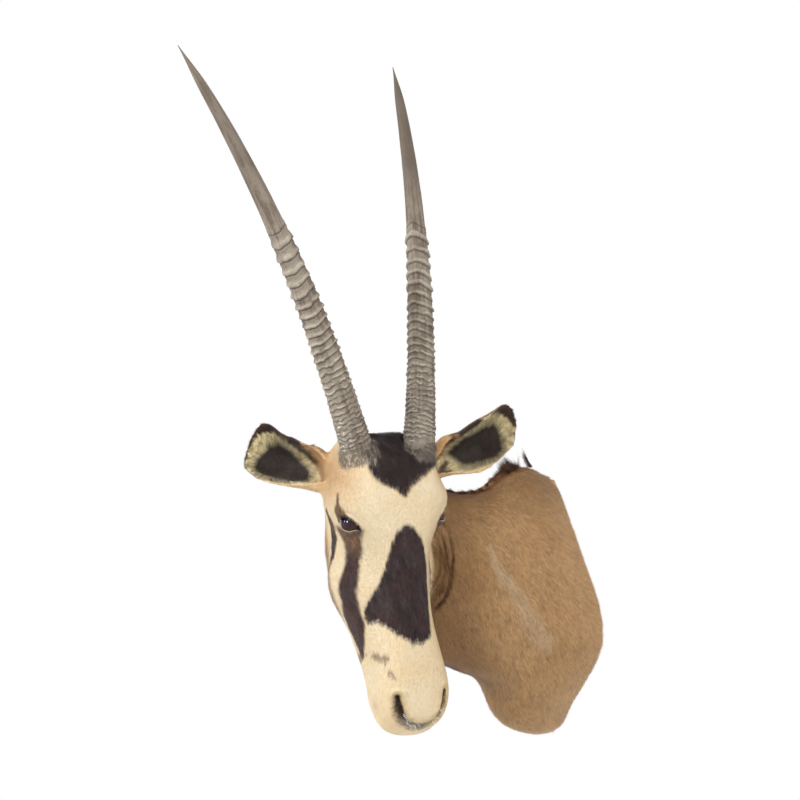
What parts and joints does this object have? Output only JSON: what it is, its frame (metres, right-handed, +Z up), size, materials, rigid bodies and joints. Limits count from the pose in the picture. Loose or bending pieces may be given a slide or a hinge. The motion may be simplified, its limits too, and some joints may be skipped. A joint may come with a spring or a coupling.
{
  "type": "gemsbok horn shoulder mount",
  "caption": "Stuffed gemsbok head and shoulders with tall ringed horns, black and cream face, glass eyes and a wooden back board that hangs on a wall.",
  "frame": {"origin": "middle of the back board's flat rear face, which lies against the wall", "axes": "+Y into the wall, +Z up, +X to the animal's left"},
  "size_m": [0.2565, 0.5746, 0.9837],
  "materials": {
    "haired_skin": "short matt hair, tan on the neck, cream and dark brown on the face",
    "horn": "dry grey-brown keratin, ringed below and smooth above",
    "glass_eye": "polished dark brown",
    "board_wood": "raw softwood",
    "hanger_steel": "zinc plated"
  },
  "bodies": {
    "root": {"head_and_neck_skin": "haired_skin", "right_horn": "horn", "left_horn": "horn", "right_glass_eye": "glass_eye", "left_glass_eye": "glass_eye", "back_board": "board_wood", "wall_hanger": "hanger_steel"}
  },
  "joints": []
}
